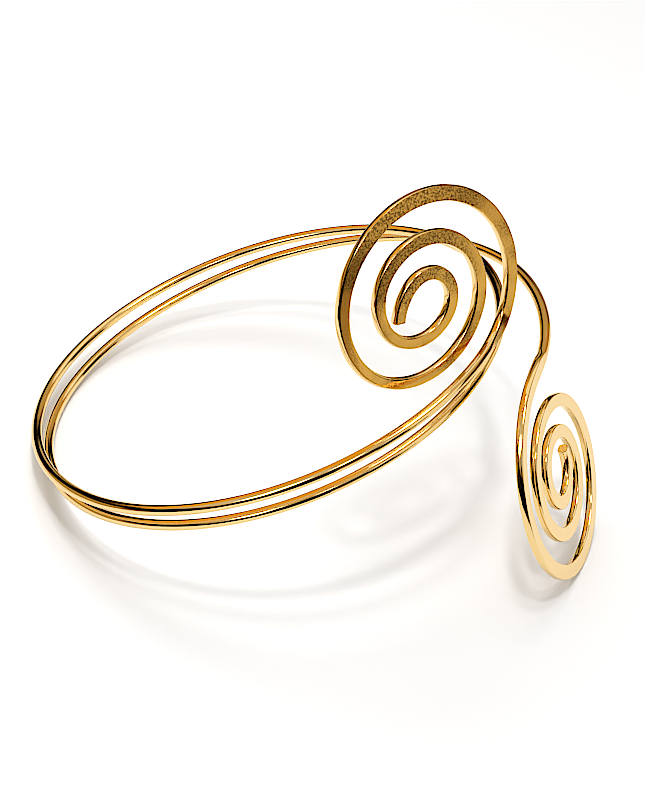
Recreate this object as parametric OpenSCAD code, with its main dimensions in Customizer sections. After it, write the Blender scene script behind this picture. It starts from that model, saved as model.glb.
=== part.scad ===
// Upper arm cuff: one springy round wire wound into an open band of nearly two turns.
// Both ends of the wire are pressed flat and rolled up into flat spirals: the upper roll
// stands above the band and the lower roll hangs below it, each with its face turned
// outwards. The cuff is drawn as it lies on a floor, on the rim of the lower roll and on
// the far side of the band.

/* [Wire] */
// Diameter of the round wire
wire_d = 2.05; // [1.6:0.05:2.4]

/* [Band] */
// Clear width inside the band, from side to side
inside_d = 88; // [72:1:104]
// How far each end of the band lies above or below the middle of the band
end_rise = 6.7; // [6.2:0.1:9]
// Angle by which each half of the band falls short of a full turn
end_short = 2.9; // [1:0.1:9]

/* [Upper roll] */
// Radius of the upper roll where it leaves the band
upper_r = 19.7; // [18:0.1:22]
// Turns of the upper roll
upper_turns = 2.66; // [2.3:0.01:2.7]
// Direction from the upper roll's centre to its start, 0 sideways and 90 up
upper_start = -46.3; // [-56:0.1:-38]
// Direction round the arm that the upper roll faces
upper_facing = -33.6; // [-38:0.1:-28]
// Lean of the upper roll's face, above zero when it looks up
upper_lean = -4.5; // [-8:0.1:4]
// Share of the wire's thickness that is pressed out of the upper roll
upper_press = 0.27; // [0.1:0.01:0.35]
// How unevenly it is pressed round a turn
upper_swell = 0.44; // [0:0.01:0.5]
// Direction in which it is pressed hardest
upper_swell_at = 63; // [0:1:180]
// How far its face twists sideways at the top and the bottom of a turn
upper_twist = 10; // [0:0.1:14]

/* [Lower roll] */
// Radius of the lower roll where it leaves the band
lower_r = 20.3; // [19:0.1:23]
// Turns of the lower roll
lower_turns = 2.87; // [2.5:0.01:2.93]
// Direction from the lower roll's centre to its start, 0 sideways and 90 up
lower_start = 74; // [66:0.1:82]
// Direction round the arm that the lower roll faces
lower_facing = -0.2; // [-5:0.1:5]
// Lean of the lower roll's face, above zero when it looks up
lower_lean = 0.6; // [-4:0.1:4]
// Share of the wire's thickness that is pressed out of the lower roll
lower_press = 0.37; // [0.1:0.01:0.4]
// How unevenly it is pressed round a turn
lower_swell = 0.16; // [0:0.01:0.4]
// Direction in which it is pressed hardest
lower_swell_at = -76; // [-180:1:0]
// How far its face twists sideways at the top and the bottom of a turn
lower_twist = -2.6; // [-10:0.1:4]
// Share of the pressing that is let off at the lower roll's inner tip
lower_tip_relief = 0.58; // [0:0.01:0.9]

/* [Hidden] */

UP = 0;
LOW = 1;

// The band's line, every 45 degrees from the middle of the wire outwards: its radius as a
// share of the band's own, and its rise as a share of the rise of its ends.
// [radius to the upper end, radius to the lower end, rise to the upper, rise to the lower]
BAND = [
  [0.886, 0.886, 0.019, 0.019],
  [0.915, 0.930, -0.020, -0.018],
  [0.984, 0.988, 0.048, -0.060],
  [1.049, 1.039, 0.131, -0.121],
  [1.113, 1.089, 0.300, -0.291],
  [1.048, 1.047, 0.428, -0.438],
  [1.009, 1.042, 0.555, -0.544],
  [0.994, 1.062, 0.767, -0.674],
  [0.989, 1.040, 0.959, -1.017],
  [0.960, 0.989, 1.312, -1.345],
];

// The rolls' lines, in equal steps from the band inwards, as shares of a roll's radius.
// [upper roll, lower roll]
ROLL = [
  [1.145, 1.165],
  [0.973, 0.996],
  [0.954, 0.847],
  [0.809, 0.873],
  [0.701, 0.608],
  [0.594, 0.585],
  [0.501, 0.474],
  [0.350, 0.376],
  [0.351, 0.343],
  [0.186, 0.171],
  [0.164, 0.198],
  [0.836, 0.538],
];

// The same sizes of both rolls, [upper, lower].
roll_r = [upper_r, lower_r];
roll_sweep = 360 * [upper_turns, lower_turns];
roll_start = [upper_start, lower_start];
roll_facing = [upper_facing, lower_facing];
roll_lean = [upper_lean, lower_lean];
roll_press = [upper_press, lower_press];
swell = [upper_swell, lower_swell];
swell_at = [upper_swell_at, lower_swell_at];
roll_twist = [upper_twist, lower_twist];

band_r = (inside_d + wire_d) / 2;
band_end = 360 - end_short;
last = len(BAND) - 1;
band_radius = [for (i = [last:-1:1]) BAND[i][UP], for (i = [0:last]) BAND[i][LOW]];
band_rise = [for (i = [last:-1:1]) BAND[i][2], for (i = [0:last]) BAND[i][3]];

// Where the wire bends from the band into a roll, [upper, lower]: how much of the band and of
// the roll the bend takes, in degrees, how full it is, and the shares of it where the
// pressing starts and over which it grows.
bend_band_angle = [12, 11];
bend_roll_angle = [12, 20];
bend_fullness = [1.07, 1.17];
press_start_share = [0.05, 0.27];
press_growth_share = [0.6, 0.3];
// The last part of the lower roll, over which the pressing is let off, in degrees.
tip_relief = [0, lower_tip_relief];
tip_angle = 110;

// Steps along the wire, in degrees in the band and the rolls and in parts of a bend.
band_step_angle = 5;
roll_step_angle = 11;
bend_steps = 8;
// Points round the wire, half of them on each side of the pressed face.
round_steps = 12;

function unit(v) = v / norm(v);
function smooth(x) = let(f = min(max(x, 0), 1)) f * f * (3 - 2 * f);

// A smooth line through the neighbourhood of the values c, at t steps along it.
function flowing(c, t) =
  let(i = min(max(floor(t), 0), len(c) - 4), f = t - i)
  ((1 - f) ^ 3 * c[i] + (3 * f ^ 3 - 6 * f ^ 2 + 4) * c[i + 1]
    + (-3 * f ^ 3 + 3 * f ^ 2 + 3 * f + 1) * c[i + 2] + f ^ 3 * c[i + 3]) / 6;

// The band, at an angle from the middle of the wire.
function band_at(a) =
  let(t = (a + 360) / 45, r = band_r * flowing(band_radius, t))
  [r * cos(a), -r * sin(a), end_rise * flowing(band_rise, t)];

// A roll's sideways, upward and outward directions.
function across(k) = [-sin(roll_facing[k]), cos(roll_facing[k]), 0];
function outward(k) =
  [cos(roll_facing[k]) * cos(roll_lean[k]), sin(roll_facing[k]) * cos(roll_lean[k]), sin(roll_lean[k])];
function upward(k) = cross(outward(k), across(k));

// A roll's line: the angle s runs from the band inwards.
function roll_radius(k, s) =
  roll_r[k] * flowing([for (row = ROLL) row[k]], (len(ROLL) - 3) * s / roll_sweep[k]);
function away(k, s) = cos(roll_start[k] + s) * across(k) + sin(roll_start[k] + s) * upward(k);
function spoke(k, s) = roll_radius(k, s) * away(k, s);
function band_tip(k) = band_at(k == UP ? -band_end : band_end);
function roll_at(k, s) = band_tip(k) - spoke(k, 0) + spoke(k, s);

// The way a roll's face looks and how hard it is pressed; both grow even towards its centre.
function closeness(k, s) = roll_radius(k, s) / roll_radius(k, 0);
function face(k, s) =
  let(t = roll_twist[k] * sin(roll_start[k] + s) * closeness(k, s))
  cos(t) * outward(k) + sin(t) * away(k, s);
function press(k, s) =
  roll_press[k] * (1 + swell[k] * cos(roll_start[k] + s - swell_at[k]) * closeness(k, s))
    * (1 - tip_relief[k] * smooth(1 - (roll_sweep[k] - s) / tip_angle));

// The bend from the band into a roll, u from 0 at the band to 1 at the roll.
function bend_from(k) = (k == UP ? -1 : 1) * (band_end - bend_band_angle[k]);
function bend_at(k, u) =
  let(
    p = band_at(bend_from(k)),
    q = roll_at(k, bend_roll_angle[k]),
    along = unit(band_at(bend_from(k) + (k == UP ? -1 : 1)) - p),
    onto = unit(roll_at(k, bend_roll_angle[k] + 1) - q),
    reach = bend_fullness[k] * norm(q - p)
  )
  (2 * u ^ 3 - 3 * u ^ 2 + 1) * p + (u ^ 3 - 2 * u ^ 2 + u) * reach * along
    + (3 * u ^ 2 - 2 * u ^ 3) * q + (u ^ 3 - u ^ 2) * reach * onto;

// Stations along the wire: [point, the way its face looks, share pressed out].
function band_station(a) = [band_at(a), [cos(a), -sin(a), 0], 0];
function bend_station(k, u) =
  [
    bend_at(k, u),
    (1 - u) * band_station(bend_from(k))[1] + u * face(k, bend_roll_angle[k]),
    press(k, bend_roll_angle[k]) * smooth((u - press_start_share[k]) / press_growth_share[k]),
  ];
function roll_stations(k) =
  let(n = ceil((roll_sweep[k] - bend_roll_angle[k]) / roll_step_angle))
  [
    for (i = [0:n])
      let(s = bend_roll_angle[k] + (roll_sweep[k] - bend_roll_angle[k]) * i / n)
      [roll_at(k, s), face(k, s), press(k, s)],
  ];
function reversed(v) = [for (i = [len(v) - 1:-1:0]) v[i]];

band_from = bend_from(UP);
band_to = bend_from(LOW);
band_steps = ceil((band_to - band_from) / band_step_angle);
stations = concat(
  reversed(roll_stations(UP)),
  [for (i = [bend_steps - 1:-1:1]) bend_station(UP, i / bend_steps)],
  [for (i = [0:band_steps]) band_station(band_from + (band_to - band_from) * i / band_steps)],
  [for (i = [1:bend_steps - 1]) bend_station(LOW, i / bend_steps)],
  roll_stations(LOW)
);
count = len(stations);
line = [for (s = stations) s[0]];

// How the cuff comes to rest: its weight lies as low as it can over the points that touch
// the floor. A pose is the upward direction [x, y, 1], not yet of length 1.
function drop(points, x, y) = max([for (p = points) -(p * [x, y, 1])]) / norm([x, y, 1]);
function best_y(points, x, a, b, n) =
  n == 0 ? (a + b) / 2
  : let(c = (2 * a + b) / 3, d = (a + 2 * b) / 3)
    drop(points, x, c) < drop(points, x, d) ? best_y(points, x, a, d, n - 1) : best_y(points, x, c, b, n - 1);
function best_pose(points, a, b, c, d, n) =
  n == 0 ? [(a + b) / 2, best_y(points, (a + b) / 2, c, d, 20)]
  : let(
      e = (2 * a + b) / 3,
      f = (a + 2 * b) / 3,
      e_drop = drop(points, e, best_y(points, e, c, d, 16)),
      f_drop = drop(points, f, best_y(points, f, c, d, 16))
    )
    e_drop < f_drop ? best_pose(points, a, f, c, d, n - 1) : best_pose(points, e, b, c, d, n - 1);

function summed(v, i = 0, total = 0) = i == len(v) ? total : summed(v, i + 1, total + v[i]);
pieces = [for (i = [1:count - 1]) norm(line[i] - line[i - 1])];
moments = [for (i = [1:count - 1]) pieces[i - 1] * (line[i] + line[i - 1]) / 2];
weight_at = summed(moments, total = [0, 0, 0]) / summed(pieces);

// The wire's outline at station i.
function outline(i) =
  let(
    s = stations[i],
    ahead = unit(line[min(i + 1, count - 1)] - line[max(i - 1, 0)]),
    up = unit(s[1] - (s[1] * ahead) * ahead),
    side = cross(ahead, up),
    thick = wire_d * (1 - s[2]),
    wide = wire_d * (1 + 2.4 * s[2] ^ 2),
    half = min(90 - 180 / round_steps, asin(thick / wide)),
    n = round_steps / 2
  )
  [
    for (turn = [0, 180], j = [0:n - 1])
      let(a = turn + half * (2 * j / (n - 1) - 1))
      s[0] - weight_at + wide / 2 * (cos(a) * side + sin(a) * up),
  ];
skin = [for (i = [0:count - 1]) each outline(i)];

// First the wire's line settles, then the points of its skin that came close to the floor.
first = best_pose([for (p = line) p - weight_at], 0.2, 0.8, -0.25, 0.45, 14);
first_drop = drop(skin, first.x, first.y);
near = [for (p = skin) if (-(p * [first.x, first.y, 1]) / norm([first.x, first.y, 1]) > first_drop - 1.5) p];
rest = best_pose(near, first.x - 0.03, first.x + 0.03, first.y - 0.05, first.y + 0.05, 12);

// The floor's frame: the rolls' side is the front.
floor_up = unit([rest.x, rest.y, 1]);
looks = [cos((upper_facing + lower_facing) / 2), sin((upper_facing + lower_facing) / 2), 0];
floor_back = -unit(looks - (looks * floor_up) * floor_up);
floor_right = cross(floor_back, floor_up);
laid = [for (p = skin) [p * floor_right, p * floor_back, p * floor_up]];
low = [for (i = [0:2]) min([for (p = laid) p[i]])];
high = [for (i = [0:2]) max([for (p = laid) p[i]])];
base = [(low.x + high.x) / 2, (low.y + high.y) / 2, low.z];

faces = concat(
  [[for (j = [round_steps - 1:-1:0]) j]],
  [
    for (i = [0:count - 2], j = [0:round_steps - 1])
      let(a = i * round_steps + j, b = i * round_steps + (j + 1) % round_steps)
      each [[a, b, b + round_steps], [a, b + round_steps, a + round_steps]],
  ],
  [[for (j = [0:round_steps - 1]) (count - 1) * round_steps + j]]
);

module spiral_armlet() {
  color([0.85, 0.6, 0.25]) polyhedron([for (p = laid) p - base], faces, convexity = 10);
}

spiral_armlet();
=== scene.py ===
import math

import bpy
import numpy as np
from bpy.props import FloatProperty, FloatVectorProperty, PointerProperty
from mathutils import Matrix


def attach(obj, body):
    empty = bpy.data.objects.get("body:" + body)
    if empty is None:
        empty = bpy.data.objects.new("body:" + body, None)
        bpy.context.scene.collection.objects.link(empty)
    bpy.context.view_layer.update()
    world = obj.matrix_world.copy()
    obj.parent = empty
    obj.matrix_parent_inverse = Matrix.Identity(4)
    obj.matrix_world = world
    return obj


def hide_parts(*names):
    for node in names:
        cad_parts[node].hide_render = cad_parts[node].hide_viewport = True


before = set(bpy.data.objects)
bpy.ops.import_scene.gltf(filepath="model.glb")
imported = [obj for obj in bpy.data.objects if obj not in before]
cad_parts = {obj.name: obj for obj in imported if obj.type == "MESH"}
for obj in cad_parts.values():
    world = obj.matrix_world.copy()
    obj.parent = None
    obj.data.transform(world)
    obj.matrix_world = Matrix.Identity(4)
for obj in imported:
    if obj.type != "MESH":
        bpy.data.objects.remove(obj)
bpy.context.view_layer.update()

bl_info = {
    "name": "Spiral arm cuff",
    "version": (1, 0, 0),
    "blender": (4, 5, 0),
    "location": "3D View > Sidebar > Arm cuff",
    "description": "Winds a gold-plated wire arm cuff with two pressed spirals, and sets it on a white table",
    "category": "Add Mesh",
}

MM = 0.001
UP, LOW = 0, 1

# The band's line, every 45 degrees from the middle of the wire outwards, as shares of the band's
# radius and of the rise of its ends: radius towards the upper and towards the lower end, then
# rise towards the upper and towards the lower end.
BAND = np.array([
    [0.886, 0.886, 0.019, 0.019],
    [0.915, 0.930, -0.020, -0.018],
    [0.984, 0.988, 0.048, -0.060],
    [1.049, 1.039, 0.131, -0.121],
    [1.113, 1.089, 0.300, -0.291],
    [1.048, 1.047, 0.428, -0.438],
    [1.009, 1.042, 0.555, -0.544],
    [0.994, 1.062, 0.767, -0.674],
    [0.989, 1.040, 0.959, -1.017],
    [0.960, 0.989, 1.312, -1.345],
])

# The rolls' lines, in equal steps from the band inwards, as shares of a roll's radius: the upper
# roll and the lower roll.
ROLL = np.array([
    [1.145, 1.165],
    [0.973, 0.996],
    [0.954, 0.847],
    [0.809, 0.873],
    [0.701, 0.608],
    [0.594, 0.585],
    [0.501, 0.474],
    [0.350, 0.376],
    [0.351, 0.343],
    [0.186, 0.171],
    [0.164, 0.198],
    [0.836, 0.538],
])

# Where the wire bends from the band into a roll, [upper, lower]: how much of the band and of the
# roll the bend takes, how full it is, and the shares of it where the pressing starts and over
# which it grows.
BEND_BAND = np.radians([12.0, 11.0])
BEND_ROLL = np.radians([12.0, 20.0])
BEND_FULLNESS = (1.07, 1.17)
PRESS_START = (0.05, 0.27)
PRESS_GROWTH = (0.6, 0.3)
# How much of a roll's inner end its tip relief takes.
TIP_ANGLE = math.radians(110)
# The pressed wire is wider by this times the square of the share pressed out of its thickness.
SPREAD = 2.4

# The pressed face: the share pressed out from which it is quite flat, the power that rounds its
# edge off (the higher, the sharper), and the places drawn to each side of that edge.
FLAT_FROM = 0.12
EDGE_POWER = 16
EDGE_PLACES = np.radians([-14, -9, -5.5, -3, -1, 1, 3, 5.5, 9, 14])
# The ripple that the rolling mill leaves on the pressed sides, as a share of the wire's width,
# and its waves: millimetres to a radian, phase and strength.
RIPPLE = 0.008
RIPPLE_WAVES = ((1.9, 0.0, 1.0), (1.13, 1.3, 1.0), (0.71, 4.0, 0.7))

# How finely the wire is drawn here, and how finely in the solid part: the angle of a step along
# the band and along a roll, and the steps in a bend. The solid part has this many round it.
FINE_STEPS = (math.radians(1.25), math.radians(2), 24)
SOLID_STEPS = (math.radians(5), math.radians(11), 8)
SOLID_ROUND = 12

# How the cuff may lie: in the band's frame the way up from the floor is x, y, 1, with x and y
# between these. The points that it can lie on are within these millimetres of the floor.
LEAN_X = (0.2, 0.8)
LEAN_Y = (-0.25, 0.45)
NEAR_FLOOR = 1.5


def linear(code):
    """An sRGB hex colour as the linear numbers that Blender works in."""
    parts = [int(code[i:i + 2], 16) / 255 for i in (1, 3, 5)]
    return tuple(c / 12.92 if c <= 0.04045 else ((c + 0.055) / 1.055) ** 2.4 for c in parts)


def length(name, about, default):
    """A length, given in millimetres and kept in metres."""
    return FloatProperty(name=name, description=about, default=default * MM, min=0.1 * MM, unit="LENGTH",
                         precision=5)


def angle(name, about, default):
    """An angle, given in degrees and kept in radians."""
    return FloatProperty(name=name, description=about, default=math.radians(default), subtype="ANGLE")


def share(name, about, default):
    """A share between none and all."""
    return FloatProperty(name=name, description=about, default=default, min=0.0, max=1.0, subtype="FACTOR")


def colour(name, about, code):
    """A colour, given as an sRGB hex value and kept linear."""
    return FloatVectorProperty(name=name, description=about, default=linear(code), subtype="COLOR",
                               min=0.0, max=1.0)


class ARMCUFF_PG_band(bpy.types.PropertyGroup):
    """Sizes of the wire and of the band round the arm."""

    wire_d: length("Wire diameter", "Diameter of the round wire", 2.05)
    inside_d: length("Inside width", "Clear width inside the band, from side to side", 88.0)
    end_rise: length("End rise", "How far each end of the band lies above or below its middle", 6.7)
    end_short: angle("End gap", "Angle by which each half of the band falls short of a full turn", 2.9)


class ARMCUFF_PG_roll(bpy.types.PropertyGroup):
    """Sizes of one spiral roll."""

    radius: length("Radius", "Radius of the roll where it leaves the band", 20.0)
    turns: FloatProperty(name="Turns", description="Turns of the roll", default=2.7, min=1.0, max=4.0)
    start: angle("Start", "Direction from the roll's centre to its start, 0 sideways and 90 up", 0.0)
    facing: angle("Facing", "Direction round the arm that the roll faces", 0.0)
    lean: angle("Lean", "Lean of the roll's face, above zero when it looks up", 0.0)
    press: share("Pressed out", "Share of the wire's thickness that is pressed out", 0.3)
    swell: share("Swell", "How unevenly it is pressed round a turn", 0.3)
    swell_at: angle("Swell at", "Direction in which it is pressed hardest", 0.0)
    twist: angle("Twist", "How far the face twists sideways at the top and the bottom of a turn", 0.0)
    relief: share("Tip relief", "Share of the pressing that is let off at the roll's inner tip", 0.0)


class ARMCUFF_PG_looks(bpy.types.PropertyGroup):
    """Colours of the metal and of the table."""

    gold: colour("Gold", "Colour of the polished gold plate", "#f5d596")
    # The upper face colour is darker and browner than the gold: a painted darker reflection.
    face: colour("Upper face", "Colour of the upper roll's face, whose plate is duller", "#daa84f")
    # The stain colour also paints a dark reflection on the upper roll's turns above its middle.
    stain_and_dark_reflection: colour("Stain", "Colour of the fine stain that stays in the pressed face", "#3c2206")
    table: colour("Table", "Colour of the table", "#f6f5f3")


# The sizes of each roll, which main sets on its property group.
ROLL_SIZES = {
    "upper": dict(radius=19.7 * MM, turns=2.66, start=math.radians(-46.3), facing=math.radians(-33.6),
                  lean=math.radians(-4.5), press=0.27, swell=0.44, swell_at=math.radians(63),
                  twist=math.radians(10), relief=0),
    "lower": dict(radius=20.3 * MM, turns=2.87, start=math.radians(74), facing=math.radians(-0.2),
                  lean=math.radians(0.6), press=0.37, swell=0.16, swell_at=math.radians(-76),
                  twist=math.radians(-2.6), relief=0.58),
}


def unit(v):
    """Each direction over its own length, so that it is one long."""
    return v / np.linalg.norm(v, axis=-1, keepdims=True)


def smooth(x):
    """A soft step from 0 to 1: three times the square of x less twice its cube."""
    x = np.clip(x, 0, 1)
    return x * x * (3 - 2 * x)


def flowing(c, t):
    """A smooth line through the neighbourhood of the values c: the uniform cubic B-spline at t."""
    i = np.clip(np.floor(t).astype(int), 0, len(c) - 4)
    f = t - i
    return ((1 - f) ** 3 * c[i] + (3 * f ** 3 - 6 * f ** 2 + 4) * c[i + 1]
            + (-3 * f ** 3 + 3 * f ** 2 + 3 * f + 1) * c[i + 2] + f ** 3 * c[i + 3]) / 6


def column(*parts):
    """Numbers side by side as the x, y and z of points."""
    return np.stack(np.broadcast_arrays(*parts), -1)


class Wire:
    """The wire's line, the way its face looks and how hard it is pressed, in the band's own frame,
    whose Z is the band's axis. k is UP or LOW, a an angle round the band, and s an angle round a
    roll from its start."""

    def __init__(self, band, rolls):
        self.band, self.rolls = band, rolls
        self.band_r = (band.inside_d + band.wire_d) / 2
        self.band_end = 2 * math.pi - band.end_short
        self.radius_line = np.concatenate([BAND[:0:-1, 0], BAND[:, 1]])
        self.rise_line = np.concatenate([BAND[:0:-1, 2], BAND[:, 3]])

    def band_at(self, a):
        """The band at an angle a from the middle of the wire: a circle whose radius and rise flow."""
        t = (a + 2 * math.pi) / math.radians(45)
        r = self.band_r * flowing(self.radius_line, t)
        return column(r * np.cos(a), -r * np.sin(a), self.band.end_rise * flowing(self.rise_line, t))

    def axes(self, k):
        """A roll's sideways, upward and outward directions."""
        facing, lean = self.rolls[k].facing, self.rolls[k].lean
        across = np.array([-math.sin(facing), math.cos(facing), 0])
        level = np.array([math.cos(facing), math.sin(facing), 0])
        outward = math.cos(lean) * level + math.sin(lean) * np.array([0, 0, 1])
        return across, np.cross(outward, across), outward

    def roll_radius(self, k, s):
        """The radius at s: the roll's radius times the smooth line through its shares."""
        roll = self.rolls[k]
        return roll.radius * flowing(ROLL[:, k], (len(ROLL) - 3) * s / (2 * math.pi * roll.turns))

    def away(self, k, s):
        """The direction from the centre at s: its cosine sideways and its sine upwards."""
        across, upward, _ = self.axes(k)
        b = np.asarray(self.rolls[k].start + s)[..., None]
        return np.cos(b) * across + np.sin(b) * upward

    def spoke(self, k, s):
        """From the roll's centre to its wire at s: the radius there times the direction."""
        return self.roll_radius(k, s)[..., None] * self.away(k, s)

    def roll_at(self, k, s):
        """A roll: a spoke turning inwards from the band's tip, as long as the roll's radius there."""
        tip = self.band_at(np.array(-self.band_end if k == UP else self.band_end))
        return tip - self.spoke(k, np.array(0.0)) + self.spoke(k, s)

    def outness(self, k, s):
        """The radius at s as a share of the radius at the start: 1 at the rim, less further in."""
        return self.roll_radius(k, s) / self.roll_radius(k, np.array(0.0))

    def face(self, k, s):
        """Where the face looks at s: outward, tipped along the spoke by the twist times the sine of
        the spoke's direction, and by less further in."""
        roll = self.rolls[k]
        t = (roll.twist * np.sin(roll.start + s) * self.outness(k, s))[..., None]
        return np.cos(t) * self.axes(k)[2] + np.sin(t) * self.away(k, s)

    def press(self, k, s):
        """The share pressed out at s: it swells with the cosine of the angle from where the roll is
        pressed hardest, by less further in, and is let off softly towards the inner tip."""
        roll = self.rolls[k]
        uneven = 1 + roll.swell * np.cos(roll.start + s - roll.swell_at) * self.outness(k, s)
        relieved = smooth(1 - (2 * math.pi * roll.turns - s) / TIP_ANGLE)
        return roll.press * uneven * (1 - roll.relief * relieved)

    def bend_from(self, k):
        """The angle round the band at which the bend to a roll starts."""
        return (-1 if k == UP else 1) * (self.band_end - BEND_BAND[k])

    def bend_at(self, k, u):
        """The bend from the band to a roll, as u goes from 0 to 1: the cubic that starts and ends at
        both lines and leaves and arrives along them."""
        step = math.radians(1)
        start, turned = np.array(self.bend_from(k)), np.array(BEND_ROLL[k])
        p, q = self.band_at(start), self.roll_at(k, turned)
        along = unit(self.band_at(start + (-step if k == UP else step)) - p)
        onto = unit(self.roll_at(k, turned + step) - q)
        reach = BEND_FULLNESS[k] * np.linalg.norm(q - p)
        u = u[:, None]
        return ((2 * u ** 3 - 3 * u ** 2 + 1) * p + (u ** 3 - 2 * u ** 2 + u) * reach * along
                + (3 * u ** 2 - 2 * u ** 3) * q + (u ** 3 - u ** 2) * reach * onto)

    def stations(self, band_step, roll_step, bend_steps):
        """Points along the wire from the upper tip to the lower one, the way the face looks at each,
        and the share pressed out there. Across a bend the face turns evenly from the band's outside
        to the roll's face, and the pressing grows softly from none."""
        def rolled(k):
            turned, sweep = BEND_ROLL[k], 2 * math.pi * self.rolls[k].turns
            s = np.linspace(turned, sweep, math.ceil(round((sweep - turned) / roll_step, 6)) + 1)
            return self.roll_at(k, s), self.face(k, s), self.press(k, s)

        def bent(k, u):
            a, turned = self.bend_from(k), np.array(BEND_ROLL[k])
            out = np.array([math.cos(a), -math.sin(a), 0])
            looks = (1 - u)[:, None] * out + u[:, None] * self.face(k, turned)
            press = self.press(k, turned) * smooth((u - PRESS_START[k]) / PRESS_GROWTH[k])
            return self.bend_at(k, u), looks, press

        u = np.arange(1, bend_steps) / bend_steps
        low, high = self.bend_from(UP), self.bend_from(LOW)
        a = np.linspace(low, high, math.ceil(round((high - low) / band_step, 6)) + 1)
        parts = [
            [v[::-1] for v in rolled(UP)],
            bent(UP, u[::-1]),
            (self.band_at(a), column(np.cos(a), -np.sin(a), 0), 0 * a),
            bent(LOW, u),
            rolled(LOW),
        ]
        return [np.concatenate([part[i] for part in parts]) for i in range(3)]


def carried(line, looks):
    """Two directions across a line: up, which is looks made square to the way ahead, and side, which
    is square to both. The way ahead goes from the last point to the next."""
    ahead = np.empty_like(line)
    ahead[1:-1] = line[2:] - line[:-2]
    ahead[0], ahead[-1] = line[1] - line[0], line[-1] - line[-2]
    ahead = unit(ahead)
    up = unit(looks - (looks * ahead).sum(-1, keepdims=True) * ahead)
    return up, np.cross(ahead, up)


def pressed_size(wire_d, press):
    """Thickness and width of the wire once a share of its thickness is pressed out."""
    return wire_d * (1 - press), wire_d * (1 + SPREAD * press ** 2)


def plain_skin(wire_d, stations):
    """The solid part's own skin: at each station, points of a circle as wide as the wire, half of
    them on each side, none of which is past the wire's thickness."""
    line, looks, press = stations
    up, side = carried(line, looks)
    thick, wide = pressed_size(wire_d, press)
    half = np.minimum(math.pi / 2 - math.pi / SOLID_ROUND, np.arcsin(thick / wide))[:, None]
    a = half * np.linspace(-1, 1, SOLID_ROUND // 2)
    a = np.concatenate([a, math.pi + a], 1)[..., None]
    spokes = np.cos(a) * side[:, None] + np.sin(a) * up[:, None]
    return line[:, None] + (wide / 2)[:, None, None] * spokes


def fine_skin(wire_d, stations, run):
    """The wire's skin: at each station, a circle as wide as the rippled wire whose height is held to
    the thickness where it is pressed. With c the height as a share of half the thickness, the held
    share is c over the p-th root of one plus c to the power p, which rounds the face's edge. Also
    gives how much each point lies on the face, and how far round the wire it is."""
    line, looks, press = stations
    up, side = carried(line, looks)
    thick, wide = pressed_size(wire_d, press)
    flat = smooth(press / FLAT_FROM)
    ripple = sum(part * np.sin(run / reach / MM + phase) for reach, phase, part in RIPPLE_WAVES) * flat
    wide = wide * (1 + RIPPLE * ripple)

    # Points crowd at the face's edges, which on round wire are drawn at 75 degrees.
    edge = np.minimum(math.radians(75), np.arcsin(np.clip(thick / wide, 0, 1)))[:, None]
    right = np.concatenate([-edge + EDGE_PLACES, 0 * edge, edge + EDGE_PLACES], 1)
    low, high = edge + EDGE_PLACES[-1], math.pi - edge - EDGE_PLACES[-1]
    face = low + (high - low) * np.array([0.25, 0.5, 0.75])
    a = np.concatenate([right, face, math.pi + right, math.pi + face], 1)

    c = wide[:, None] * np.sin(a) / thick[:, None]
    held = c / (1 + np.abs(c) ** EDGE_POWER) ** (1 / EDGE_POWER)
    x = wide[:, None] / 2 * np.cos(a)
    y = thick[:, None] / 2 * (c + (held - c) * flat[:, None])
    skin = line[:, None] + x[..., None] * side[:, None] + y[..., None] * up[:, None]
    on_face = smooth((np.abs(c) - 0.98) / 0.06) * flat[:, None]
    sides = np.linalg.norm(np.diff(skin, axis=1), axis=2)
    around = np.concatenate([np.zeros((len(a), 1)), np.cumsum(sides, 1)], 1)
    return skin, on_face, around


def drop(points, x, y):
    """How far the lowest point lies under the origin when up is the direction x, y, 1."""
    return (-(points @ np.array([x, y, 1.0]))).max() / math.sqrt(x * x + y * y + 1)


def thirds(worth, a, b, n):
    """The place between a and b where worth is least, by leaving out a third at a time."""
    for _ in range(n):
        c, d = (2 * a + b) / 3, (a + 2 * b) / 3
        a, b = (a, d) if worth(c) < worth(d) else (c, b)
    return (a + b) / 2


def best_pose(points, x_range, y_range, n):
    """The x and y in their ranges for which the drop is least: y for each x, and so the best x."""
    def best_y(x, m):
        return thirds(lambda y: drop(points, x, y), *y_range, m)
    x = thirds(lambda x: drop(points, x, best_y(x, 16)), *x_range, n)
    return x, best_y(x, 20)


def floor_frame(wire):
    """How the cuff lies: its weight is as low as it can be over the points that touch the floor. The
    best leaning is found for the wire's line first, and then near that for the skin by the floor.
    Gives the weight's place, the three directions of the floor's frame, and its origin."""
    stations = wire.stations(*SOLID_STEPS)
    line = stations[0] / MM
    steps = np.linalg.norm(np.diff(line, axis=0), axis=1)
    weight_at = ((line[1:] + line[:-1]) / 2 * steps[:, None]).sum(0) / steps.sum()
    skin = plain_skin(wire.band.wire_d, stations).reshape(-1, 3) / MM - weight_at
    x, y = best_pose(line - weight_at, LEAN_X, LEAN_Y, 14)
    depth = -(skin @ np.array([x, y, 1])) / math.sqrt(x * x + y * y + 1)
    near = skin[depth > depth.max() - NEAR_FLOOR]
    x, y = best_pose(near, (x - 0.03, x + 0.03), (y - 0.05, y + 0.05), 12)
    up = unit(np.array([x, y, 1]))
    middle = (wire.rolls[UP].facing + wire.rolls[LOW].facing) / 2
    looks = np.array([math.cos(middle), math.sin(middle), 0])
    back = -unit(looks - (looks @ up) * up)
    turned = np.stack([np.cross(back, up), back, up])
    laid = skin @ turned.T
    low, high = laid.min(0), laid.max(0)
    base = np.array([(low[0] + high[0]) / 2, (low[1] + high[1]) / 2, low[2]])
    return weight_at * MM, turned, base * MM


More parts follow.
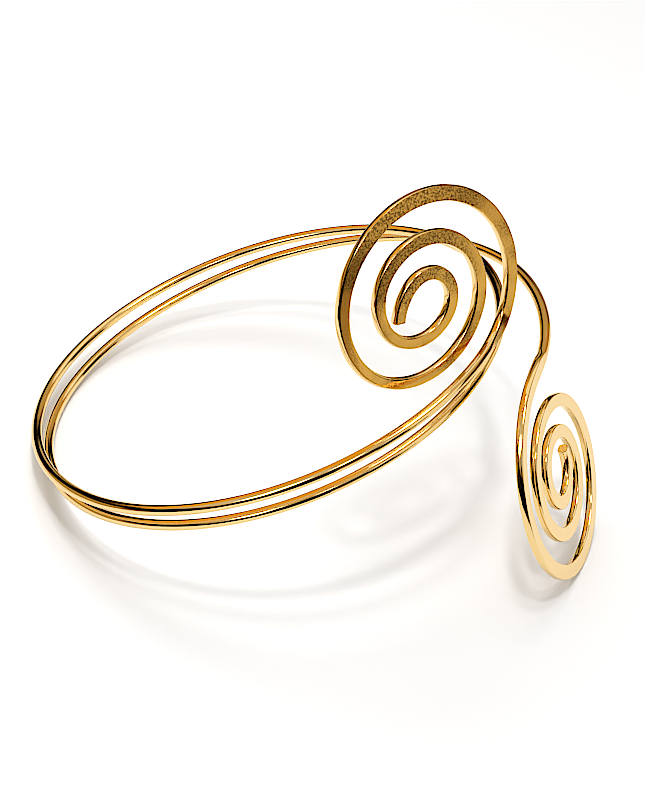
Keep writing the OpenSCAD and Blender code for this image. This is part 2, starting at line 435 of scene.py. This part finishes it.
def add_node(tree, kind, links=(), **settings):
    """Adds a node: settings name its own values, or its sockets when they start with in_."""
    node = tree.nodes.new(kind)
    for name, value in settings.items():
        if name.startswith("in_"):
            key = name[3:]
            node.inputs[int(key) if key.isdigit() else key.replace("_", " ")].default_value = value
        else:
            setattr(node, name, value)
    for source, target in links:
        tree.links.new(source, node.inputs[target])
    return node


def new_material(name):
    """A material, its node tree and its main shader."""
    material = bpy.data.materials.new(name)
    material.use_nodes = True
    tree = material.node_tree
    return material, tree, tree.nodes["Principled BSDF"]


def set_ramp(node, *stops):
    """Gives a colour ramp its stops, each a place and a linear colour."""
    ramp = node.color_ramp
    while len(ramp.elements) < len(stops):
        ramp.elements.new(0.5)
    for element, (place, value) in zip(ramp.elements, stops):
        element.position = place
        element.color = (*value, 1)
    return node


# The middle of the upper roll in metres, and the direction from it in which its turns get
# the most painted dark reflection.
ROLL_MIDDLE = (-0.0075, -0.0238, 0.0547)
DARK_REFLECTION_WAY = (-0.26, 0.28, 0.92)


def gold_plate(looks):
    """Polished gold plate over drawn and pressed brass wire. To the eye the plate is a yellow
    mirror. The wire keeps faint lines along its length from drawing. The upper roll's pressed face
    is duller, with a fine grain from the rollers, and is painted darker and browner than the gold as
    a painted darker reflection. It is brown in stained patches, and brown on the turns above the
    roll's middle as a painted dark reflection."""
    material, tree, shader = new_material("gold_plated_polished_brass")
    place = add_node(tree, "ShaderNodeTexCoord").outputs["Object"]
    pressed = add_node(tree, "ShaderNodeAttribute", attribute_name="pressed").outputs["Fac"]
    grained = add_node(tree, "ShaderNodeAttribute", attribute_name="grained").outputs["Fac"]
    run = add_node(tree, "ShaderNodeUVMap", uv_map="wire").outputs["UV"]

    # Rolled grain, 0.35 mm across. Where the turns pass above the upper roll's middle the face gets a
    # painted dark reflection, and elsewhere a stain in patches some 7 mm across. A patch is tinted by
    # a fifth, and by up to three quarters where the grain is high.
    grain = add_node(tree, "ShaderNodeTexNoise", [(place, "Vector")], in_Scale=1 / (0.35 * MM),
                     in_Detail=3.0, in_Roughness=0.6)
    patch = add_node(tree, "ShaderNodeTexNoise", [(place, "Vector")], in_Scale=1 / (7 * MM), in_Detail=1.0)
    spoke = add_node(tree, "ShaderNodeVectorMath", [(place, 0)], operation="SUBTRACT", in_1=ROLL_MIDDLE)
    spoke = add_node(tree, "ShaderNodeVectorMath", [(spoke.outputs[0], 0)], operation="NORMALIZE")
    spoke = add_node(tree, "ShaderNodeVectorMath", [(spoke.outputs[0], 0)], operation="DOT_PRODUCT",
                     in_1=DARK_REFLECTION_WAY)
    where = add_node(tree, "ShaderNodeMapRange", [(spoke.outputs["Value"], "Value")], in_1=0.55, in_2=0.95)
    where = add_node(tree, "ShaderNodeMath", [(patch.outputs["Fac"], 0), (where.outputs[0], 1)],
                     operation="ADD")
    specks = set_ramp(add_node(tree, "ShaderNodeValToRGB", [(grain.outputs["Fac"], "Fac")]),
                      (0.42, (0, 0, 0)), (0.60, (1, 1, 1)))
    patches = set_ramp(add_node(tree, "ShaderNodeValToRGB", [(where.outputs[0], "Fac")]),
                       (0.48, (0, 0, 0)), (0.72, (1, 1, 1)))
    specks = add_node(tree, "ShaderNodeMath", [(specks.outputs["Color"], 0)], operation="MULTIPLY_ADD",
                      in_1=0.55, in_2=0.2)
    stains_and_dark_reflection_mask = add_node(tree, "ShaderNodeMath", [(specks.outputs[0], 0), (patches.outputs["Color"], 1)],
                       operation="MULTIPLY")
    stains_and_dark_reflection_mask = add_node(tree, "ShaderNodeMath", [(stains_and_dark_reflection_mask.outputs[0], 0), (grained, 1)], operation="MULTIPLY")
    # The upper face takes its darker colour, a painted darker reflection, and over it the stain colour.
    faced = add_node(tree, "ShaderNodeMix", [(grained, "Factor")], data_type="RGBA",
                     in_6=(*looks.gold, 1), in_7=(*looks.face, 1))
    tint = add_node(tree, "ShaderNodeMix", [(stains_and_dark_reflection_mask.outputs[0], "Factor"), (faced.outputs[2], 6)],
                    data_type="RGBA", in_7=(*looks.stain_and_dark_reflection, 1))
    tree.links.new(tint.outputs[2], shader.inputs["Base Color"])

    # Roughness: a mirror on the round wire, a little softer on the pressed face, and softer
    # still in the stain and the painted dark reflection.
    rough = add_node(tree, "ShaderNodeMapRange", [(pressed, "Value")], in_3=0.04, in_4=0.07)
    rough = add_node(tree, "ShaderNodeMath", [(stains_and_dark_reflection_mask.outputs[0], 0), (rough.outputs[0], 2)],
                     operation="MULTIPLY_ADD", in_1=0.25)
    tree.links.new(rough.outputs[0], shader.inputs["Roughness"])

    # Drawing lines run along the wire, 14 mm long and 0.3 mm apart round it. Real ones are finer,
    # and these are as coarse as they need to be to show. Under them the wire waves a little,
    # every 4 mm, and over them lies the grain.
    lines = add_node(tree, "ShaderNodeMapping", [(run, "Vector")],
                     in_Scale=(1 / (14 * MM), 1 / (0.3 * MM), 1))
    lines = add_node(tree, "ShaderNodeTexNoise", [(lines.outputs[0], "Vector")], in_Scale=1.0, in_Detail=2.0)
    waves = add_node(tree, "ShaderNodeTexNoise", [(place, "Vector")], in_Scale=1 / (4 * MM), in_Detail=1.0)
    bump = add_node(tree, "ShaderNodeBump", [(waves.outputs["Fac"], "Height")], in_Strength=0.5,
                    in_Distance=0.06 * MM)
    bump = add_node(tree, "ShaderNodeBump", [(lines.outputs["Fac"], "Height"), (bump.outputs[0], "Normal")],
                    in_Strength=0.35, in_Distance=0.010 * MM)
    depth = add_node(tree, "ShaderNodeMath", [(grain.outputs["Fac"], 0), (grained, 1)], operation="MULTIPLY")
    bump = add_node(tree, "ShaderNodeBump", [(depth.outputs[0], "Height"), (bump.outputs[0], "Normal")],
                    in_Strength=0.5, in_Distance=0.025 * MM)
    tree.links.new(bump.outputs[0], shader.inputs["Normal"])
    shader.inputs["Metallic"].default_value = 1.0
    return material


def table_top(looks):
    """White cast acrylic with a satin surface: plain white with a weak, soft reflection. Clouds some
    160 mm across, up to 1.5 per cent darker, keep it from looking dead even."""
    material, tree, shader = new_material("white_acrylic_table")
    place = add_node(tree, "ShaderNodeTexCoord").outputs["Object"]
    cloud = add_node(tree, "ShaderNodeTexNoise", [(place, "Vector")], in_Scale=1 / (160 * MM), in_Detail=1.0)
    tint = add_node(tree, "ShaderNodeMix", [(cloud.outputs["Fac"], "Factor")], data_type="RGBA",
                    in_6=(*looks.table, 1), in_7=(*[c * 0.985 for c in looks.table], 1))
    tree.links.new(tint.outputs[2], shader.inputs["Base Color"])
    shader.inputs["Roughness"].default_value = 0.32
    shader.inputs["Specular IOR Level"].default_value = 0.12
    return material


def felt(name, code):
    """Plain matt felt, which the polished metal shows as a line of its colour."""
    material, _, shader = new_material(name)
    shader.inputs["Base Color"].default_value = (*linear(code), 1)
    shader.inputs["Roughness"].default_value = 1.0
    shader.inputs["Specular IOR Level"].default_value = 0.0
    return material


def put_mesh(name, points, faces, material):
    """A mesh of one material, on an object at the origin."""
    mesh = bpy.data.meshes.new(name)
    mesh.from_pydata(points, [], faces)
    mesh.materials.append(material)
    obj = bpy.data.objects.new(name, mesh)
    bpy.context.collection.objects.link(obj)
    return obj


def tube_faces(rows, count):
    """The faces of a closed tube of rows rings of count points: each ring joined to the next, and a
    fan of triangles over each end round its middle, which is one of two further points."""
    i, j = np.meshgrid(np.arange(rows - 1), np.arange(count), indexing="ij")
    a, b = i * count + j, i * count + (j + 1) % count
    quads = np.stack([a, a + count, b + count, b], -1).reshape(-1, 4)
    first, last = np.arange(count), (rows - 1) * count + np.arange(count)
    middles = rows * count + np.arange(2)
    caps = np.concatenate([
        np.stack([np.full(count, middles[0]), first, np.roll(first, -1)], -1),
        np.stack([np.full(count, middles[1]), np.roll(last, -1), last], -1),
    ])
    return quads, caps


def wire_map(quads, caps, run, around):
    """The wire's own map at each face's corners: how far along the wire and how far round it, in
    metres. The faces that close the ring end at the far side of the map, not back at its start."""
    count = around.shape[1]
    corners = np.concatenate([quads.reshape(-1), caps.reshape(-1)])
    along = np.concatenate([np.repeat(run, count), [run[0], run[-1]]])[corners]
    turn = np.concatenate([around.reshape(-1), [0, 0]])[corners]
    closing = np.repeat(quads[:, 0] % count == count - 1, 4)
    turn[:len(closing)] += np.where(closing & (turn[:len(closing)] == 0), around.max(), 0)
    return np.stack([along, turn], -1)


class ARMCUFF_OT_wire(bpy.types.Operator):
    """Wind the wire: the band of nearly two turns and both pressed spirals, in one piece"""

    bl_idname = "armcuff.wire"
    bl_label = "Wire"

    def execute(self, context):
        scene = context.scene
        wire = Wire(scene.armcuff_band, (scene.armcuff_upper, scene.armcuff_lower))
        weight_at, turned, base = floor_frame(wire)
        stations = wire.stations(*FINE_STEPS)
        run = np.concatenate([[0], np.cumsum(np.linalg.norm(np.diff(stations[0], axis=0), axis=1))])
        skin, on_face, around = fine_skin(wire.band.wire_d, stations, run)
        rows, count = skin.shape[:2]
        points = (skin.reshape(-1, 3) - weight_at) @ turned.T - base
        middles = np.stack([points[:count].mean(0), points[-count:].mean(0)])
        quads, caps = tube_faces(rows, count)
        piece = put_mesh("spiral_armlet_wire", np.concatenate([points, middles]).tolist(),
                         quads.tolist() + caps.tolist(), gold_plate(scene.armcuff_looks))

        # The wire is smooth all along, and its two end cuts are flat.
        mesh = piece.data
        smoothed = np.ones(len(mesh.polygons), bool)
        smoothed[len(quads):] = False
        mesh.polygons.foreach_set("use_smooth", smoothed)

        # Both rolls' faces are pressed, and only the upper roll's, on the first half of the wire, is
        # grained and takes the painted darker colour and the painted dark reflection.
        pressed = np.concatenate([on_face.reshape(-1), [0, 0]])
        grained = pressed * (np.arange(len(pressed)) < rows * count // 2)
        for name, values in (("pressed", pressed), ("grained", grained)):
            layer = mesh.attributes.new(name, "FLOAT", "POINT")
            layer.data.foreach_set("value", values.astype(np.float32))
        layer = mesh.uv_layers.new(name="wire")
        layer.data.foreach_set("uv", wire_map(quads, caps, run, around).astype(np.float32).reshape(-1))

        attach(piece, "root")
        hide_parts("spiral_armlet")
        return {"FINISHED"}


# The studio round the table, as soft-edged areas of the world: direction from the front towards
# the right, height, half width, half height and softness, all in degrees, then the colour and
# how many times brighter it is. The last three are the bright spots that the metal shows.
STUDIO = (
    (180, 48, 24, 24, 8, "#e8b048", 1),
    (-128, 48, 34, 16, 8, "#d4ccc4", 1),
    (-90, 36, 14, 10, 8, "#b8a890", 1),
    (-132, 22, 16, 8, 6, "#4a3818", 1),
    (180, 16, 40, 5, 5, "#362410", 1),
    (-150, 4, 30, 6, 8, "#b08c48", 1),
    (-110, 8, 14, 13, 6, "#2c1c08", 1),
    (-34, 14, 18, 18, 8, "#4c3a1c", 1),
    (-66, 8, 30, 18, 6, "#060300", 1),
    (-66, 36, 10, 12, 6, "#2c1e0c", 1),
    (-44, 50, 22, 11, 8, "#d2d0d2", 1),
    (-9, 34, 12, 16, 6, "#fffdf6", 1),
    (14, 16, 15, 18, 6, "#fff8e8", 1),
    (14, 48, 18, 14, 8, "#d0be98", 1),
    (54, 50, 14, 7, 4, "#9a7030", 1),
    (54, 31, 13, 12, 4, "#0c0702", 1),
    (75, 4, 18, 18, 5, "#fff6e0", 1),
    (92, 36, 14, 6, 4, "#c08420", 1),
    (140, 14, 30, 9, 5, "#1a1005", 1),
    (104, 8, 12, 12, 6, "#98866a", 1),
    (-155, 20, 20, 6, 5, "#3a2810", 1),
    (-165, 8, 18, 6, 6, "#b89c5c", 1),
    (138, 12, 8, 6, 4, "#c4b088", 1),
    (128, 58, 38, 16, 5, "#fffaf0", 1),
    (-77, 62, 6, 5, 4, "#ffffff", 8),
    (-106, 46, 9, 9, 6, "#ffffff", 7),
    (0, 90, 180, 9, 6, "#ffffff", 7),
)
# What stands behind them, from the horizon to overhead: the sine of the height, and the colour.
BACKDROP = ((0.0, "#5e4420"), (0.36, "#5e4420"), (0.48, "#b89c64"), (0.80, "#c8b088"), (1.0, "#d8c8a8"))

# Brightness of the even light on the table.
AMBIENT = 0.63

# Soft boxes: name, direction from the front towards the right and height in degrees, distance and
# width in millimetres, power in watts, and colour.
LAMPS = (
    ("overhead", -100, 85, 600, 70, 0.45, "#fafbff"),
    ("spot", -65, 74, 600, 50, 0.70, "#fafbff"),
    ("back_right", 150, 64, 650, 320, 1.40, "#fafbff"),
)

# Felt cards that lie round the white middle of the table: from and to in degrees from the front
# towards the right, from and to in millimetres from the middle, and the colour.
CARDS = (
    (-118, -72, 118, 155, "#8c6c2c"),
    (-118, -72, 155, 1500, "#0c0702"),
    (-72, -32, 105, 125, "#a8873f"),
    (-72, -32, 125, 1500, "#060300"),
    (-32, -14, 140, 1500, "#a08444"),
    (-14, 5, 110, 180, "#a89a66"),
    (-14, 2, 180, 1500, "#302008"),
    (2, 11, 150, 1500, "#b4a488"),
    (28, 45, 200, 1500, "#caa65f"),
    (85, 165, 260, 1500, "#8c6a34"),
    (-180, -118, 280, 600, "#c9a460"),
    (-180, -118, 600, 1500, "#6c4c18"),
)

# Half the table's side, and how high the cards lie over it.
TABLE_HALF = 1600 * MM
CARD_LIFT = 0.3 * MM

# The camera, at the photo's viewing angle: place in metres, turn in degrees, lens in millimetres.
CAMERA_AT = (-0.24281, -0.16705, 0.23713)
CAMERA_TURN = (52.9849, -5.9743, -51.2401)
CAMERA_LENS = 59.411

# How much of the sharpening filter the finished picture gets.
CRISPNESS = 0.15


def studio_world():
    """A studio seen in reflections only: a pale ceiling over a brown horizon, with lighter and
    darker areas. Each area is a box in direction and height whose edge falls off smoothly."""
    world = bpy.data.worlds.new("studio")
    world.use_nodes = True
    tree = world.node_tree
    sky = add_node(tree, "ShaderNodeTexCoord").outputs["Generated"]
    way = add_node(tree, "ShaderNodeSeparateXYZ", [(sky, "Vector")])
    front = add_node(tree, "ShaderNodeMath", [(way.outputs["Y"], 0)], operation="MULTIPLY", in_1=-1.0)
    turn = add_node(tree, "ShaderNodeMath", [(way.outputs["X"], 0), (front.outputs[0], 1)],
                    operation="ARCTAN2")
    height = add_node(tree, "ShaderNodeMath", [(way.outputs["Z"], 0)], operation="ARCSINE")
    base = set_ramp(add_node(tree, "ShaderNodeValToRGB", [(way.outputs["Z"], "Fac")]),
                    *[(place, linear(code)) for place, code in BACKDROP])
    colour_now = base.outputs["Color"]

    def within(value, middle, half, soft, wraps):
        """1 within half of the middle, 0 outside, softly between; wraps joins a circle's ends."""
        off = add_node(tree, "ShaderNodeMath", [(value, 0)], operation="SUBTRACT", in_1=math.radians(middle))
        if wraps:
            off = add_node(tree, "ShaderNodeMath", [(off.outputs[0], 0)], operation="WRAP", in_1=math.pi,
                           in_2=-math.pi)
        off = add_node(tree, "ShaderNodeMath", [(off.outputs[0], 0)], operation="ABSOLUTE")
        return add_node(tree, "ShaderNodeMapRange", [(off.outputs[0], "Value")],
                        interpolation_type="SMOOTHSTEP", in_1=math.radians(half - soft / 2),
                        in_2=math.radians(half + soft / 2), in_3=1.0, in_4=0.0)

    for to, up, wide, high, soft, code, gain in STUDIO:
        across = within(turn.outputs[0], to, wide, soft, True)
        along = within(height.outputs[0], up, high, soft, False)
        mask = add_node(tree, "ShaderNodeMath", [(across.outputs[0], 0), (along.outputs[0], 1)],
                        operation="MULTIPLY")
        mixed = add_node(tree, "ShaderNodeMix", [(mask.outputs[0], "Factor"), (colour_now, 6)],
                         data_type="RGBA", in_7=(*[v * gain for v in linear(code)], 1))
        colour_now = mixed.outputs[2]

    # Glossy rays see the studio, and all others an even, neutral light.
    ray = add_node(tree, "ShaderNodeLightPath").outputs["Is Glossy Ray"]
    mixed = add_node(tree, "ShaderNodeMix", [(ray, "Factor"), (colour_now, 7)], data_type="RGBA",
                     in_6=(AMBIENT, AMBIENT, AMBIENT, 1))
    tree.links.new(mixed.outputs[2], tree.nodes["Background"].inputs["Color"])
    return world


class ARMCUFF_OT_stage(bpy.types.Operator):
    """Set up the white table, the soft lights, the felt cards and the camera"""

    bl_idname = "armcuff.stage"
    bl_label = "Stage"

    def execute(self, context):
        scene = context.scene
        corners = [(x * TABLE_HALF, y * TABLE_HALF, 0) for x, y in ((-1, -1), (1, -1), (1, 1), (-1, 1))]
        table = put_mesh("table", corners, [(0, 1, 2, 3)], table_top(scene.armcuff_looks))
        for n, (first, last, inner, outer, code) in enumerate(CARDS):
            self.card(n + 1, np.radians([first, last]), inner * MM, outer * MM, code)
        for name, to, up, away, size, power, code in LAMPS:
            self.light(name, math.radians(to), math.radians(up), away * MM, size * MM, power, linear(code))
        scene.world = studio_world()
        self.camera(scene)
        self.finish(scene)
        return {"FINISHED"}

    def card(self, number, reach, inner, outer, code):
        """A sheet of felt between two directions and two distances, seen in reflections only."""
        to = np.linspace(*reach, 13)
        rim = column(np.sin(to), -np.cos(to), 0)
        lift = np.array([0, 0, CARD_LIFT])
        points = np.concatenate([rim * inner + lift, rim * outer + lift])
        i = np.arange(len(to) - 1)
        quads = np.stack([i, i + len(to), i + len(to) + 1, i + 1], -1)
        card = put_mesh(f"card_{number}", points.tolist(), quads.tolist(), felt(f"felt_card_{number}", code))
        card.visible_camera = False
        card.visible_diffuse = False
        card.visible_shadow = False

    def camera(self, scene):
        """The camera at the photo's viewing angle."""
        data = bpy.data.cameras.new("camera")
        data.sensor_fit = "VERTICAL"
        data.sensor_height = 24.0
        data.lens = CAMERA_LENS
        data.clip_start, data.clip_end = 0.01, 10.0
        camera = bpy.data.objects.new("camera", data)
        bpy.context.collection.objects.link(camera)
        camera.location = CAMERA_AT
        camera.rotation_euler = np.radians(CAMERA_TURN).tolist()
        scene.camera = camera

    def finish(self, scene):
        """What the camera makes of the picture: all above white is cut off at white, then the
        picture is sharpened a little, in plain sRGB."""
        scene.use_nodes = True
        tree = scene.node_tree
        layers, out = tree.nodes["Render Layers"], tree.nodes["Composite"]
        white = add_node(tree, "CompositorNodeMixRGB", [(layers.outputs["Image"], 1)],
                         blend_type="MULTIPLY", use_clamp=True, in_2=(1, 1, 1, 1))
        crisp = add_node(tree, "CompositorNodeFilter", [(white.outputs["Image"], "Image")],
                         filter_type="SHARPEN", in_Fac=CRISPNESS)
        tree.links.new(crisp.outputs["Image"], out.inputs["Image"])
        scene.view_settings.view_transform = "Standard"
        scene.view_settings.look = "None"

    def light(self, name, to, up, away, size, power, tint):
        """A square soft box that looks at the origin, and that the metal doesn't show."""
        data = bpy.data.lights.new(name, "AREA")
        data.shape = "SQUARE"
        data.size = size
        data.energy = power
        data.color = tint
        lamp = bpy.data.objects.new(name, data)
        lamp.visible_glossy = False
        bpy.context.collection.objects.link(lamp)
        back = np.array([math.sin(to) * math.cos(up), -math.cos(to) * math.cos(up), math.sin(up)])
        right = unit(np.cross([0, 0, 1], back))
        turned = Matrix(np.stack([right, np.cross(back, right), back], 1).tolist())
        lamp.matrix_world = Matrix.Translation((back * away).tolist()) @ turned.to_4x4()


class ARMCUFF_PT_panel(bpy.types.Panel):
    """Sizes, colours and steps of the arm cuff"""

    bl_idname = "ARMCUFF_PT_panel"
    bl_label = "Arm cuff"
    bl_space_type = "VIEW_3D"
    bl_region_type = "UI"
    bl_category = "Arm cuff"

    def draw(self, context):
        layout = self.layout
        for title, name in (("Band", "armcuff_band"), ("Upper roll", "armcuff_upper"),
                            ("Lower roll", "armcuff_lower"), ("Looks", "armcuff_looks")):
            box = layout.box()
            box.label(text=title)
            group = getattr(context.scene, name)
            for prop in group.__annotations__:
                box.prop(group, prop)
        for operator in STEPS:
            layout.operator(operator.bl_idname)


STEPS = (ARMCUFF_OT_wire, ARMCUFF_OT_stage)
CLASSES = (ARMCUFF_PG_band, ARMCUFF_PG_roll, ARMCUFF_PG_looks, *STEPS, ARMCUFF_PT_panel)
GROUPS = {
    "armcuff_band": ARMCUFF_PG_band,
    "armcuff_upper": ARMCUFF_PG_roll,
    "armcuff_lower": ARMCUFF_PG_roll,
    "armcuff_looks": ARMCUFF_PG_looks,
}


def register():
    for cls in CLASSES:
        bpy.utils.register_class(cls)
    for name, group in GROUPS.items():
        setattr(bpy.types.Scene, name, PointerProperty(type=group))


def unregister():
    for name in GROUPS:
        delattr(bpy.types.Scene, name)
    for cls in reversed(CLASSES):
        bpy.utils.unregister_class(cls)


def main():
    register()
    for which, sizes in ROLL_SIZES.items():
        for name, value in sizes.items():
            setattr(getattr(bpy.context.scene, "armcuff_" + which), name, value)
    bpy.ops.armcuff.wire()
    bpy.ops.armcuff.stage()


if __name__ == "__main__":
    main()
